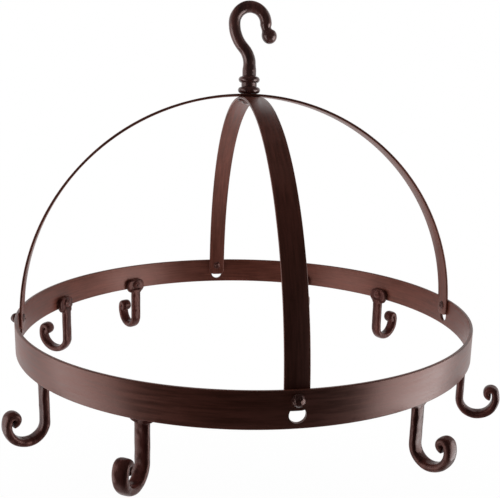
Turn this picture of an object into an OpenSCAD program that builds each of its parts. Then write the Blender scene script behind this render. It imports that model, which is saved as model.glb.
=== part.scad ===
// Hanging crown rack for drying bunches of herbs, forged and riveted from flat bar.
// The origin is the saddle of the hanging hook, where it bears on a ceiling hook, and +Z is up.
// The upper arch lies along X, the lower arch along Y, and the hoop's axis is Z.

/* [Hoop] */
// Outer diameter of the hoop
hoop_d = 380; // [340:5:440]
// Height of the hoop's flat bar
band_h = 25; // [23:1:32]
// Thickness of the hoop's flat bar
band_t = 2.5; // [2:0.5:4]

/* [Arches] */
// Width of the arches' flat bar
strap_w = 16.5; // [14:0.5:20]
// Thickness of the arches' flat bar
strap_t = 2; // [1.5:0.5:3]
// How far each arch foot reaches down inside the hoop from its top edge
foot_reach = 14.5; // [13:0.5:16]
// Straight length of the upper arch's foot below its curve
foot_straight = 6.3; // [5:0.1:12]
// Corner radius at the end of each arch foot
foot_corner_r = 5; // [2:0.5:6]

/* [Foot fixings] */
// Diameter of the foot rivet's shank
foot_rivet_d = 5; // [4:0.5:6]
// Depth of the foot rivet's centre below the hoop's top edge
foot_rivet_drop = 6.25; // [6:0.25:8]
// Diameter of the foot rivet's outer head
foot_head_d = 8.6; // [8:0.2:10]
// Height of the foot rivet's outer head
foot_head_h = 5.2; // [3:0.2:5.6]
// Diameter of the larger hole below each foot
foot_hole_d = 11; // [8:0.5:12]
// Iron left between the rivet hole and the larger hole
foot_hole_web = 1.7; // [1.4:0.1:2.4]

/* [Herb hooks] */
// Angle between the two herb hooks of a quarter
hook_step = 30; // [24:1:40]
// Width of the hook's bar along the hoop
hook_w = 10.5; // [9:0.5:13]
// Thickness of the hook's bar
hook_t = 6.2; // [5.5:0.1:8]
// Radius of the bar's softened edges
hook_edge_r = 2.4; // [1:0.1:2.6]
// Drop of the hook's lowest point below the hoop
hook_drop = 45.5; // [42:0.5:60]
// Inner radius of the bend from shank to bottom
bend_r = 9; // [7:0.5:12]
// Inner radius of the outer half of the hook
rise_r = 11.8; // [10:0.1:14]
// Angle above level at which the tip rolls over
curl_angle = 21; // [10:1:35]
// Diameter of the rolled tip
curl_d = 12; // [10:0.2:13]
// How much wider than the bar the rolled tip is
curl_swell = 0.6; // [0.2:0.1:1.5]
// Width of the hook's flattened palm along the hoop
palm_w = 20; // [17:0.5:23]
// Height of the palm
palm_h = 14.2; // [13:0.2:16]
// Corner radius of the palm
palm_corner_r = 5.5; // [3:0.5:6]
// Thickness of the palm
palm_t = 4.5; // [3:0.5:5]
// Height of the palm's centre above the hoop's bottom edge
palm_rise = 3.4; // [3.2:0.1:5]

/* [Hook rivets] */
// Diameter of the hook rivet's shank
hook_rivet_d = 5; // [4:0.5:6]
// Height of the hook rivet's centre above the palm's centre
hook_rivet_lift = 1.6; // [1.4:0.1:2.4]
// Diameter of the rivet's countersunk end in the hoop
sink_d = 8; // [7:0.5:8.5]
// Diameter of the heads formed inside the rack
tail_d = 8.4; // [7.6:0.2:8.4]
// Height of the heads formed inside the rack
tail_h = 1.7; // [1.2:0.1:2.5]
// Diameter of the punch mark in those heads
punch_d = 3; // [2:0.5:4]
// Depth of the punch mark
punch_h = 0.7; // [0.4:0.1:1]

/* [Hanging hook] */
// Diameter of the hook's bar
bar_d = 9.7; // [8:0.1:10.5]
// Inner radius of the bow
bow_r = 8; // [7:0.1:10]
// Height of the bow's centre above the arches
bow_rise = 55.5; // [55:0.5:75]
// Radius of the neck's upper bend along the bar's centre
neck_upper_r = 28; // [20:1:29]
// Radius of the neck's lower bend along the bar's centre
neck_lower_r = 18; // [14:1:20]
// Diameter of the neck's lower bend, where the bar thickens towards the stem
neck_d = 10.6; // [10:0.1:11.5]
// Radius of the tip's flare along the bar's centre
flare_r = 15.5; // [12:0.5:20]
// Angle that the tip flares outwards
flare_angle = 37; // [20:1:42]
// Diameter of the ball on the tip
ball_d = 12.4; // [11:0.2:14]

/* [Stem and collars] */
// Diameter of the stem below the neck
stem_d = 11.6; // [11:0.2:12.4]
// Length of the taper from bar to stem
taper_h = 5; // [3:0.5:7]
// Diameter across the upper collar
upper_collar_d = 17.6; // [16:0.2:20]
// Diameter across the lower collar
lower_collar_d = 18.6; // [17:0.2:22]
// Thickness of each collar's bead
bead_h = 5.5; // [4.5:0.5:6]
// Diameter of the waist between the collars
waist_d = 13; // [12.5:0.5:15]
// Distance between the two collars' centres
collar_step = 8.4; // [7:0.1:9.5]

/* [Swivel] */
// Diameter of the tail that turns in the arches
tail_pin_d = 8; // [6:0.5:9]
// Diameter of the washer under the arches
washer_d = 18; // [15:0.5:22]
// Thickness of the washer
washer_t = 1.6; // [1:0.2:2.5]
// Diameter of the tail's headed end
peen_d = 12; // [11:0.5:14]
// Height of the tail's headed end
peen_h = 2.6; // [2:0.2:4]

/* [Fits] */
// Clearance between pieces that lie on each other
lay_gap = 0.1; // [0.05:0.05:0.2]
// Radial clearance of the rivets in their holes
rivet_clear = 0.05; // [0.03:0.01:0.1]
// Radial clearance of the turning tail
swivel_clear = 0.05; // [0.03:0.01:0.1]
// Gap above and below the turning joint
turn_gap = 0.25; // [0.1:0.05:0.4]

/* [Hidden] */

// Facets of small round work, of thin bars, and of the hoop and arches
$fn = 96;
bar_fn = 48;
ring_fn = 180;

// How far a cut runs past the surface that it opens
cut_past = 1;

// Iron colours: the arches and hoop, the darker hooks, and the rivets
band_colour = "#5c3f39";
hook_colour = "#3d2824";
rivet_colour = "#4a322d";

// Hoop
hoop_r = hoop_d / 2;
hoop_inner_r = hoop_r - band_t;
// Where a flat piece of a given width touches the inside of the hoop with both its edges
function seat_x(width) = sqrt(pow(hoop_inner_r, 2) - pow(width / 2, 2)) - lay_gap;

// Arches: each is a half circle on straight feet
foot_x = seat_x(strap_w);
foot_end = band_h / 2 - foot_reach;
arch_lay = strap_t + 2 * lay_gap;
arch_inner_r = foot_x - strap_t;
upper_spring = foot_end + foot_straight;
lower_spring = upper_spring - arch_lay;
arch_rise = upper_spring + foot_x;

// Heights, measured from the saddle of the hanging hook
bow_z = -bow_r;
crown_z = bow_z - bow_rise;
band_z = crown_z - arch_rise;
crown_under_z = crown_z - arch_lay - strap_t;

// Herb hook, in the plane through the rack's axis
palm_x = seat_x(palm_w);
palm_z = palm_rise - band_h / 2;
shank_x = palm_x - hook_t / 2;
bend_line_r = bend_r + hook_t / 2;
rise_line_r = rise_r + hook_t / 2;
hook_low_z = -band_h / 2 - hook_drop;
bend_z = hook_low_z + hook_t + bend_r;
rise_z = hook_low_z + hook_t + rise_r;
turn_x = shank_x + bend_line_r;
curl_reach = rise_line_r + hook_t / 2 - curl_d / 2;
hook_rivet_z = palm_z + hook_rivet_lift;
sink_depth = (sink_d - hook_rivet_d) / 2;
shoulder_z = hook_rivet_z - tail_d / 2 - lay_gap;
shoulder_depth = hook_t - palm_t;

// Foot fixings
foot_rivet_z = band_h / 2 - foot_rivet_drop;
foot_hole_z = foot_rivet_z - foot_rivet_d / 2 - rivet_clear - foot_hole_web - foot_hole_d / 2;
foot_head_top = foot_rivet_z + tail_d / 2;
// How far an arch has curved in at the top of the heads inside its feet
function curve_in(spring) =
    arch_inner_r - sqrt(pow(arch_inner_r, 2) - pow(max(0, foot_head_top - spring), 2));

// Hanging hook
bow_line_r = bow_r + bar_d / 2;
// The neck turns as far as it must to bring the bar from the bow's side back to the axis
neck_bends = neck_upper_r + neck_lower_r;
neck_angle = acos(1 - bow_line_r / neck_bends);
neck_end_z = bow_z - neck_bends * sin(neck_angle);
// How far the thinner bend runs on inside the thicker one
neck_bite = 3;
lower_collar_z = crown_z + turn_gap + bead_h / 2;
upper_collar_z = lower_collar_z + collar_step;
tip_x = bow_line_r + flare_r * (1 - cos(flare_angle));
tip_z = bow_z - flare_r * sin(flare_angle);
washer_top_z = crown_under_z - turn_gap;
peen_top_z = washer_top_z - washer_t - lay_gap;

// Angles round the hoop
foot_angles = [0, 90, 180, 270];
hook_angles = [for (quarter = [0:3], side = [-1, 1]) 90 * quarter + 45 + side * hook_step / 2];

// Places its children, drawn at X outwards and Z from the band's middle, at one angle of the hoop
module on_hoop(angle) {
    translate([0, 0, band_z]) rotate([0, 0, angle]) children();
}

// Cylinder that points outwards along X
module outward_rod(d, x0, x1) {
    translate([x0, 0, 0]) rotate([0, 90, 0]) cylinder(h = x1 - x0, d = d);
}

// Low dome with a flat base at z = 0
module dome(d, h) {
    ball_r = (pow(d / 2, 2) + h * h) / (2 * h);
    intersection() {
        translate([0, 0, h - ball_r]) sphere(r = ball_r);
        cylinder(h = h + cut_past, d = d);
    }
}

// Head that a punch has formed on the inside of the rack, pointing along +Z
module formed_head() {
    difference() {
        dome(tail_d, tail_h);
        translate([0, 0, tail_h - punch_h + punch_d / 2]) sphere(d = punch_d);
    }
}

// Rectangle with rounded corners
module rounded(w, h, corner_r) {
    square([w - 2 * corner_r, h], center = true);
    square([w, h - 2 * corner_r], center = true);
    for (i = [-1, 1], j = [-1, 1])
        translate([i * (w / 2 - corner_r), j * (h / 2 - corner_r)])
            circle(r = corner_r, $fn = bar_fn);
}

// Curved length of the herb hook's bar about a point in its plane
module bar_bend(x, z, line_r, from, to) {
    translate([x, 0, z]) rotate([90, 0, 0]) rotate([0, 0, from])
        rotate_extrude(angle = to - from) translate([line_r, 0])
            rounded(hook_t, hook_w, hook_edge_r);
}

// Rolled tip of the herb hook, a short drum with softened edges
module curl() {
    drum_w = hook_w + curl_swell;
    translate([turn_x + curl_reach * cos(curl_angle), 0, rise_z + curl_reach * sin(curl_angle)])
        rotate([90, 0, 0]) rotate_extrude() intersection() {
            rounded(curl_d, drum_w, hook_edge_r);
            translate([0, -drum_w / 2]) square([curl_d / 2, drum_w]);
        }
}

// Round bar of the hanging hook, bent about a point in its plane
module round_bend(x, z, d, line_r, from, to) {
    translate([x, 0, z]) rotate([90, 0, 0]) rotate([0, 0, from])
        rotate_extrude(angle = to - from) translate([line_r, 0]) circle(d = d, $fn = bar_fn);
}

// Collar with a rounded rim
module collar(d, z) {
    translate([0, 0, z]) rotate_extrude() {
        translate([(d - bead_h) / 2, 0]) circle(d = bead_h, $fn = bar_fn);
        translate([0, -bead_h / 2]) square([(d - bead_h) / 2, bead_h]);
    }
}

// Flat-bar arch in the XZ plane, with its curve starting at the given height
module arch(spring) {
    translate([0, 0, band_z]) difference() {
        union() {
            translate([0, 0, spring]) rotate([90, 0, 0])
                linear_extrude(height = strap_w, center = true) difference() {
                    circle(r = foot_x, $fn = ring_fn);
                    circle(r = arch_inner_r, $fn = ring_fn);
                    translate([-hoop_d, -2 * hoop_d]) square(2 * hoop_d);
                }
            for (side = [0, 180]) rotate([0, 0, side]) translate([arch_inner_r, 0, 0])
                rotate([90, 0, 90]) linear_extrude(height = strap_t) foot_outline(spring);
        }
        for (side = [0, 180]) rotate([0, 0, side]) translate([0, 0, foot_rivet_z])
            outward_rod(foot_rivet_d + 2 * rivet_clear, arch_inner_r - cut_past, foot_x + cut_past);
        cylinder(h = hoop_d, d = tail_pin_d + 2 * swivel_clear);
    }
}

// Outline of an arch foot, with the corners of its lower end rounded
module foot_outline(spring) {
    half_w = strap_w / 2;
    translate([-half_w, foot_end + foot_corner_r])
        square([strap_w, spring - foot_end - foot_corner_r]);
    translate([-half_w + foot_corner_r, foot_end])
        square([strap_w - 2 * foot_corner_r, foot_corner_r]);
    for (side = [-1, 1]) translate([side * (half_w - foot_corner_r), foot_end + foot_corner_r])
        circle(r = foot_corner_r);
}

module hoop() {
    color(band_colour) difference() {
        translate([0, 0, band_z - band_h / 2]) difference() {
            cylinder(h = band_h, r = hoop_r, $fn = ring_fn);
            translate([0, 0, -cut_past])
                cylinder(h = band_h + 2 * cut_past, r = hoop_inner_r, $fn = ring_fn);
        }
        for (angle = foot_angles) on_hoop(angle) {
            translate([0, 0, foot_rivet_z])
                outward_rod(foot_rivet_d + 2 * rivet_clear, foot_x - cut_past, hoop_r + cut_past);
            translate([0, 0, foot_hole_z])
                outward_rod(foot_hole_d, foot_x - cut_past, hoop_r + cut_past);
        }
        for (angle = hook_angles) on_hoop(angle) translate([0, 0, hook_rivet_z]) {
            outward_rod(hook_rivet_d + 2 * rivet_clear, palm_x - cut_past, hoop_r + cut_past);
            sink(rivet_clear, cut_past);
        }
    }
}

// Countersink in the outside of the hoop, carried past its surface, or the rivet end that fills it
module sink(grow, past) {
    translate([hoop_r - sink_depth, 0, 0]) rotate([0, 90, 0])
        cylinder(h = sink_depth + past,
                 d1 = hook_rivet_d + 2 * grow, d2 = sink_d + 2 * (grow + past));
}

module upper_arch() {
    color(band_colour) arch(upper_spring);
}

module lower_arch() {
    color(band_colour) rotate([0, 0, 90]) arch(lower_spring);
}

module foot_rivet(angle) {
    spring = angle % 180 == 0 ? upper_spring : lower_spring;
    inside_x = arch_inner_r - curve_in(spring) - lay_gap;
    outside_x = hoop_r + lay_gap;
    color(rivet_colour) on_hoop(angle) translate([0, 0, foot_rivet_z]) {
        outward_rod(foot_rivet_d, inside_x, outside_x + foot_head_h / 2);
        translate([outside_x, 0, 0]) rotate([0, 90, 0]) dome(foot_head_d, foot_head_h);
        translate([inside_x, 0, 0]) rotate([0, -90, 0]) formed_head();
    }
}

// Forged herb hook: rounded palm, shank, wide bend, rise and rolled tip
module herb_hook(n) {
    color(hook_colour) on_hoop(hook_angles[n - 1]) difference() {
        union() {
            translate([palm_x - palm_t, 0, palm_z]) rotate([90, 0, 90])
                linear_extrude(height = palm_t) rounded(palm_w, palm_h, palm_corner_r);
            translate([shank_x, 0, bend_z]) linear_extrude(height = palm_z - bend_z)
                rounded(hook_t, hook_w, hook_edge_r);
            bar_bend(turn_x, bend_z, bend_line_r, 180, 270);
            bar_bend(turn_x, rise_z, rise_line_r, 270, 360 + curl_angle);
            curl();
        }
        translate([0, 0, hook_rivet_z])
            outward_rod(hook_rivet_d + 2 * rivet_clear,
                        palm_x - hook_t - cut_past, palm_x + cut_past);
        // Shoulder where the shank is forged down to the palm, square above and sloped below
        translate([palm_x - palm_t, 0, shoulder_z]) rotate([0, -135, 0])
            translate([0, -hook_w, 0]) cube([4 * shoulder_depth, 2 * hook_w, 4 * shoulder_depth]);
        translate([palm_x - palm_t - hook_t, -hook_w, shoulder_z])
            cube([hook_t, 2 * hook_w, palm_h]);
    }
}

module hook_rivet(n) {
    inside_x = palm_x - palm_t - lay_gap;
    color(rivet_colour) on_hoop(hook_angles[n - 1]) translate([0, 0, hook_rivet_z]) {
        outward_rod(hook_rivet_d, inside_x, hoop_r - sink_depth / 2);
        sink(0, 0);
        translate([inside_x, 0, 0]) rotate([0, -90, 0]) formed_head();
    }
}

// Forged hanging hook: ball tip, bow, swan neck, stem, two collars and the turning tail
module hanging_hook() {
    color(hook_colour) {
        translate([tip_x, 0, tip_z]) sphere(d = ball_d);
        round_bend(bow_line_r + flare_r, bow_z, bar_d, flare_r, 180, 180 + flare_angle);
        round_bend(0, bow_z, bar_d, bow_line_r, 0, 180);
        round_bend(neck_upper_r - bow_line_r, bow_z, bar_d, neck_upper_r,
                   180, 180 + neck_angle + neck_bite);
        round_bend(-neck_lower_r, neck_end_z, neck_d, neck_lower_r, 0, neck_angle);
        translate([0, 0, neck_end_z - taper_h]) cylinder(h = taper_h, d1 = stem_d, d2 = neck_d);
        translate([0, 0, upper_collar_z])
            cylinder(h = neck_end_z - taper_h - upper_collar_z, d = stem_d);
        collar(upper_collar_d, upper_collar_z);
        translate([0, 0, lower_collar_z]) cylinder(h = collar_step, d = waist_d);
        collar(lower_collar_d, lower_collar_z);
        translate([0, 0, peen_top_z])
            cylinder(h = lower_collar_z - peen_top_z, d = tail_pin_d);
        translate([0, 0, peen_top_z]) rotate([180, 0, 0]) dome(peen_d, peen_h);
    }
}

module swivel_washer() {
    color(rivet_colour) translate([0, 0, washer_top_z - washer_t]) difference() {
        cylinder(h = washer_t, d = washer_d);
        translate([0, 0, -cut_past])
            cylinder(h = washer_t + 2 * cut_past, d = tail_pin_d + 2 * swivel_clear);
    }
}

hoop();
upper_arch();
lower_arch();
foot_rivet(foot_angles[0]);  // foot_rivet_right
foot_rivet(foot_angles[1]);  // foot_rivet_back
foot_rivet(foot_angles[2]);  // foot_rivet_left
foot_rivet(foot_angles[3]);  // foot_rivet_front
herb_hook(1);  // herb_hook_1
herb_hook(2);  // herb_hook_2
herb_hook(3);  // herb_hook_3
herb_hook(4);  // herb_hook_4
herb_hook(5);  // herb_hook_5
herb_hook(6);  // herb_hook_6
herb_hook(7);  // herb_hook_7
herb_hook(8);  // herb_hook_8
hook_rivet(1);  // hook_rivet_1
hook_rivet(2);  // hook_rivet_2
hook_rivet(3);  // hook_rivet_3
hook_rivet(4);  // hook_rivet_4
hook_rivet(5);  // hook_rivet_5
hook_rivet(6);  // hook_rivet_6
hook_rivet(7);  // hook_rivet_7
hook_rivet(8);  // hook_rivet_8
hanging_hook();
swivel_washer();
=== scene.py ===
"""Looks of a hanging iron crown rack for drying herbs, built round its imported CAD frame."""

import logging
import math
from dataclasses import dataclass, field
from enum import Enum
from typing import Callable, Iterable, Sequence

import bmesh
import bpy
import numpy as np
from mathutils import Matrix, Vector, noise


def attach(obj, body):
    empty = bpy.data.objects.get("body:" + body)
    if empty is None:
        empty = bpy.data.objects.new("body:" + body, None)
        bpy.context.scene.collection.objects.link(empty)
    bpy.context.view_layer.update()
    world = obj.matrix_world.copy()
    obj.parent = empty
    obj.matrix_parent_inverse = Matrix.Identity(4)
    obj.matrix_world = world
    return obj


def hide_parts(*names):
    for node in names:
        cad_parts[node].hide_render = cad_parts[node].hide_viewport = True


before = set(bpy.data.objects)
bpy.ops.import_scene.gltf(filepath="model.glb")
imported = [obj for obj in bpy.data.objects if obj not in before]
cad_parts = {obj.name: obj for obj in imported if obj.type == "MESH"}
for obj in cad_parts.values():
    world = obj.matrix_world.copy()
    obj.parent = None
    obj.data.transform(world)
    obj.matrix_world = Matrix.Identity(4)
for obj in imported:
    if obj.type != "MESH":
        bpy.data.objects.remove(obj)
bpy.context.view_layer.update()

LOG = logging.getLogger("crown_rack")
MM = 0.001
BAND_Z = -255.018  # Middle of the hoop's band, in millimetres from the hanging hook's saddle.
NEAR_AXIS = 0.02  # Radius of the small face that closes a turned end, in millimetres.
TURNED_POINTS = 40  # Points round a rivet or a drill.
BAR_CREASE = 34.0  # Angle above which an edge stays crisp, in degrees, on the flat bars.
TURNED_CREASE = 50.0  # The same on rivets and the washer.
# The edge attribute places the pale edge colour: part rubbed-through wear, part painted highlight.
EDGE = "edge_wear_sheen"  # Attribute that holds how exposed an edge is.
TURN = "turn"  # Attribute that holds the turn about Z of what stands at a point.
EVEN = (1.0, 1.0, 1.0)  # Stretch of a pattern that is alike in all directions.
SEED_STEP = (13.7, 7.1, 3.3)  # Shift along X, Y and Z from one seed's dents to the next's.
ROUND_END = (0.35, 0.6, 0.8, 0.93, 0.99)  # Shares of a rounded end's length with a section.
PUNCH_STEPS = (0.3, 0.6, 0.85, 1.0)  # Shares of a punch mark's radius with a ring.

Colour = tuple[float, float, float]
Point = tuple[float, float, float]
Pair = tuple[float, float]
Place = tuple[float, float]
Piece = bpy.types.Object
Skin = bmesh.types.BMesh
Socket = bpy.types.NodeSocket


class Body(Enum):
    """The two rigid bodies of the rack."""

    HANGER = "hanger"
    RACK = "rack"


class Slot(Enum):
    """Names of the material slots."""

    BAND = "band_iron"
    HOOK = "hook_iron"
    RIVET = "rivet_iron"


class Grain(Enum):
    """Way that the brush streaks of the paint run, as the pattern's scale along X, Y and Z."""

    ROUND_HOOP = (34.0, 34.0, 560.0)
    ALONG_X_ARCH = (34.0, 560.0, 34.0)
    ALONG_Y_ARCH = (560.0, 34.0, 34.0)
    UPRIGHT = (160.0, 160.0, 16.0)
    NONE = (90.0, 90.0, 90.0)


@dataclass(frozen=True)
class Station:
    """One section of a bar that is swept along a path in the XZ plane, in millimetres."""

    x: float
    z: float
    normal: float
    half_t: float
    half_w: float
    squareness: float = 2.0


class Nodes:
    """A node tree that is built in code."""

    def __init__(self, tree: bpy.types.NodeTree) -> None:
        """Takes the tree that it adds to."""
        self.tree = tree

    def add(self, kind: str, given: dict[str | int, object] | None = None,
            **settings: object) -> bpy.types.Node:
        """Adds a node.

        Args:
            kind: Type of the node.
            given: What its inputs take: a socket to join, or a plain value.
            settings: Properties of the node itself, set before its inputs.

        Returns:
            The node.
        """
        made = self.tree.nodes.new(kind)
        for name, value in settings.items():
            setattr(made, name, value)
        for name, value in (given or {}).items():
            if isinstance(value, bpy.types.NodeSocket):
                self.tree.links.new(value, made.inputs[name])
            else:
                made.inputs[name].default_value = value
        return made


class ShaderNodes(Nodes):
    """The shader tree of a material or of the world."""

    def __init__(self, owner: bpy.types.Material | bpy.types.World) -> None:
        """Empties the owner's tree.

        Args:
            owner: Material or world that the tree belongs to.
        """
        owner.use_nodes = True
        super().__init__(owner.node_tree)
        self.tree.nodes.clear()

    def pattern(self, where: Socket, stretch: Point, scale: float, detail: float,
                rough: float) -> Socket:
        """Adds a noise pattern.

        Args:
            where: Object coordinates.
            stretch: Scale along X, Y and Z.
            scale: Overall scale.
            detail: Octaves.
            rough: Share kept from each octave to the next.

        Returns:
            The pattern's value.
        """
        placed = self.add("ShaderNodeMapping", {"Vector": where, "Scale": stretch})
        return self.add("ShaderNodeTexNoise", {
            "Vector": placed.outputs["Vector"],
            "Scale": scale,
            "Detail": detail,
            "Roughness": rough,
        }).outputs["Fac"]

    def steepen(self, value: Socket, low: float, high: float,
                results: Pair = (0.0, 1.0)) -> Socket:
        """Maps a stretch of a pattern smoothly to another range.

        Args:
            value: The pattern.
            low: Value that gives the first result.
            high: Value that gives the second result.
            results: The two ends of what comes out.

        Returns:
            The mapped value.
        """
        return self.add("ShaderNodeMapRange", {
            "Value": value,
            "From Min": low,
            "From Max": high,
            "To Min": results[0],
            "To Max": results[1],
        }, interpolation_type="SMOOTHSTEP").outputs["Result"]

    def reckon(self, operation: str, first: Socket, second: Socket | float) -> Socket:
        """Joins a value to another value or a number by a Math node."""
        return self.add("ShaderNodeMath", {0: first, 1: second}, operation=operation).outputs[0]

    def tint(self, share: Socket, first: Socket | Colour, second: Colour,
             amount: float = 1.0) -> Socket:
        """Mixes a colour into another by a pattern.

        Args:
            share: The pattern, 1 where the second colour shows.
            first: Colour or socket below.
            second: Colour above.
            amount: Most of the second colour that shows.

        Returns:
            The mixed colour.
        """
        return self.add("ShaderNodeMix", {
            "Factor": self.reckon("MULTIPLY", share, amount),
            "A": (*first, 1.0) if isinstance(first, tuple) else first,
            "B": (*second, 1.0),
        }, data_type="RGBA").outputs["Result"]

    def close(self, share: Socket | float, first: bpy.types.Node, second: bpy.types.Node,
              output: str = "ShaderNodeOutputMaterial") -> None:
        """Ends the tree in a mix of two shaders.

        Args:
            share: Share of the second shader.
            first: Shader that shows where the share is 0.
            second: Shader that shows where the share is 1.
            output: Type of the output node.
        """
        mixed = self.add("ShaderNodeMixShader", {
            "Fac": share, 1: first.outputs[0], 2: second.outputs[0]})
        self.add(output, {"Surface": mixed.outputs[0]})


@dataclass(frozen=True)
class PaintedIron:
    """Dark reddish-brown paint over hand-worked iron."""

    name: str
    deep: Colour
    warm: Colour
    # Pale edge colour: part rubbed-through wear, part painted highlight.
    worn_and_sheen: Colour
    grain: Grain
    gloss: Pair
    dents: float
    dent_scale: float
    # Most of the pale edge colour, wear and painted highlight, that shows.
    wear_sheen_share: float
    coat: float = 0.08
    shine: float = 0.5

    def material(self) -> bpy.types.Material:
        """Builds the node material of this finish, once.

        Returns:
            The material, with streaks, clouding, pale edges that are part rubbed-through wear and
            part painted highlight, and a faint hammered relief.
        """
        made = bpy.data.materials.get(self.name)
        if made is not None:
            return made
        made = bpy.data.materials.new(self.name)
        nodes = ShaderNodes(made)
        where = nodes.add("ShaderNodeTexCoord").outputs["Object"]
        streaks = nodes.pattern(where, self.grain.value, scale=1.0, detail=5.0, rough=0.62)
        clouds = nodes.pattern(where, EVEN, scale=34.0, detail=4.0, rough=0.55)
        specks = nodes.pattern(where, EVEN, scale=620.0, detail=2.0, rough=0.5)
        brushed = nodes.tint(nodes.steepen(streaks, 0.36, 0.66), self.deep, self.warm)
        clouded = nodes.tint(nodes.steepen(clouds, 0.35, 0.7), brushed, self.warm, amount=0.45)
        # Exposed edges take a pale colour that is part rubbed-through wear and part painted
        # highlight.
        exposed = nodes.add("ShaderNodeAttribute", attribute_name=EDGE).outputs["Fac"]
        rubbed_and_sheen = nodes.reckon("MULTIPLY", exposed, nodes.steepen(clouds, 0.3, 0.62))
        paint = nodes.add("ShaderNodeBsdfPrincipled", {
            "Base Color": nodes.tint(rubbed_and_sheen, clouded, self.worn_and_sheen, self.wear_sheen_share),
            "Roughness": nodes.steepen(streaks, 0.25, 0.75, self.gloss),
            "Normal": self._relief(nodes, where, streaks, specks),
            "Metallic": 0.0,
            "IOR": 1.5,
            "Specular IOR Level": self.shine,
            "Specular Tint": (1.0, 0.54, 0.46, 1.0),
            "Coat Weight": self.coat,
            "Coat Roughness": 0.22,
        })
        nodes.add("ShaderNodeOutputMaterial", {"Surface": paint.outputs["BSDF"]})
        return made

    def _relief(self, nodes: ShaderNodes, where: Socket, streaks: Socket,
                specks: Socket) -> Socket:
        """Adds the hammered dents, brush ridges and fine grain of the paint as bump.

        Args:
            nodes: The material's tree.
            where: Object coordinates.
            streaks: The streak pattern.
            specks: The fine pattern.

        Returns:
            The surface's normal with all three.
        """
        dents = nodes.add("ShaderNodeTexVoronoi", {
            "Vector": where, "Scale": self.dent_scale, "Smoothness": 0.7}, feature="SMOOTH_F1")
        below: dict[str | int, object] = {}
        for height, strength, depth in (
            (dents.outputs["Distance"], self.dents, 0.0009),
            (streaks, 0.16, 0.00018),
            (specks, 0.14, 0.00012),
        ):
            bump = nodes.add("ShaderNodeBump", {
                "Height": height, "Strength": strength, "Distance": depth, **below})
            below = {"Normal": bump.outputs["Normal"]}
        return below["Normal"]


# Each paint: deep tone, warm tone, and a pale edge colour that is part wear and part painted
# highlight.
BAND_PAINT = ((0.077, 0.0225, 0.0142), (0.138, 0.040, 0.027), (0.27, 0.16, 0.14))
HERB_HOOK_PAINT = ((0.043, 0.0125, 0.0108), (0.106, 0.031, 0.025), (0.26, 0.16, 0.14))
HANGING_HOOK_PAINT = ((0.031, 0.0118, 0.0102), (0.125, 0.044, 0.037), (0.27, 0.165, 0.145))
RIVET_PAINT = ((0.020, 0.0065, 0.0058), (0.070, 0.022, 0.018), (0.30, 0.20, 0.18))
HOOK_RIVET_PAINT = ((0.043, 0.0125, 0.0108), (0.116, 0.036, 0.029), (0.30, 0.20, 0.18))


class Finish(Enum):
    """The rack's finishes."""

    HOOP = PaintedIron("hoop_paint", *BAND_PAINT, Grain.ROUND_HOOP, gloss=(0.30, 0.42),
                       dents=0.08, dent_scale=46.0, wear_sheen_share=0.08)
    UPPER_ARCH = PaintedIron("upper_arch_paint", *BAND_PAINT, Grain.ALONG_X_ARCH,
                             gloss=(0.30, 0.42), dents=0.08, dent_scale=52.0, wear_sheen_share=0.1)
    LOWER_ARCH = PaintedIron("lower_arch_paint", *BAND_PAINT, Grain.ALONG_Y_ARCH,
                             gloss=(0.30, 0.42), dents=0.08, dent_scale=52.0, wear_sheen_share=0.1)
    HERB_HOOK = PaintedIron("herb_hook_paint", *HERB_HOOK_PAINT, Grain.UPRIGHT,
                            gloss=(0.19, 0.33), dents=0.80, dent_scale=170.0, wear_sheen_share=0.4,
                            coat=0.04, shine=0.23)
    HANGING_HOOK = PaintedIron("hanging_hook_paint", *HANGING_HOOK_PAINT, Grain.UPRIGHT,
                               gloss=(0.20, 0.32), dents=0.55, dent_scale=140.0, wear_sheen_share=0.5,
                               coat=0.75, shine=0.35)
    RIVET = PaintedIron("rivet_paint", *RIVET_PAINT, Grain.NONE, gloss=(0.16, 0.30),
                        dents=0.8, dent_scale=420.0, wear_sheen_share=0.4, shine=0.40)
    HOOK_RIVET = PaintedIron("hook_rivet_paint", *HOOK_RIVET_PAINT, Grain.NONE,
                             gloss=(0.22, 0.36), dents=0.4, dent_scale=240.0, wear_sheen_share=0.4,
                             coat=0.06, shine=0.30)


def smooth(t: float) -> float:
    """Eases a share from 0 to 1, flat at both ends."""
    t = min(1.0, max(0.0, t))
    return t * t * (3.0 - 2.0 * t)


def between(first: float, last: float, share: float) -> float:
    """Value at a share of the way from the first to the last."""
    return first + (last - first) * share


def larger(first: float, second: float, power: int) -> float:
    """Larger of two sizes, with a rounded corner where they change over."""
    return (first ** power + second ** power) ** (1 / power)


def arc(start: float, end: float, steps: int) -> list[float]:
    """Angles in degrees from start to end, both included."""
    return [start + (end - start) * i / steps for i in range(steps + 1)]


def on_arc(centre: Place, radius: float, angle: float) -> Place:
    """Place on a circle in the XZ plane, at an angle in degrees from X."""
    turn = math.radians(angle)
    return centre[0] + radius * math.cos(turn), centre[1] + radius * math.sin(turn)


def round_bar(place: Place, normal: float, radius: float) -> Station:
    """Section of a round bar."""
    return Station(*place, normal, radius, radius)


def section(station: Station, points: int) -> list[Place]:
    """Outline of a softened bar.

    Args:
        station: Half thickness, half width and squareness.
        points: Points round the outline.

    Returns:
        Offsets along the path's normal and along Y.
    """
    power = 2.0 / station.squareness
    outline = []
    for i in range(points):
        angle = 2.0 * math.pi * i / points
        c, s = math.cos(angle), math.sin(angle)
        outline.append((math.copysign(abs(c) ** power, c) * station.half_t,
                        math.copysign(abs(s) ** power, s) * station.half_w))
    return outline


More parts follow.
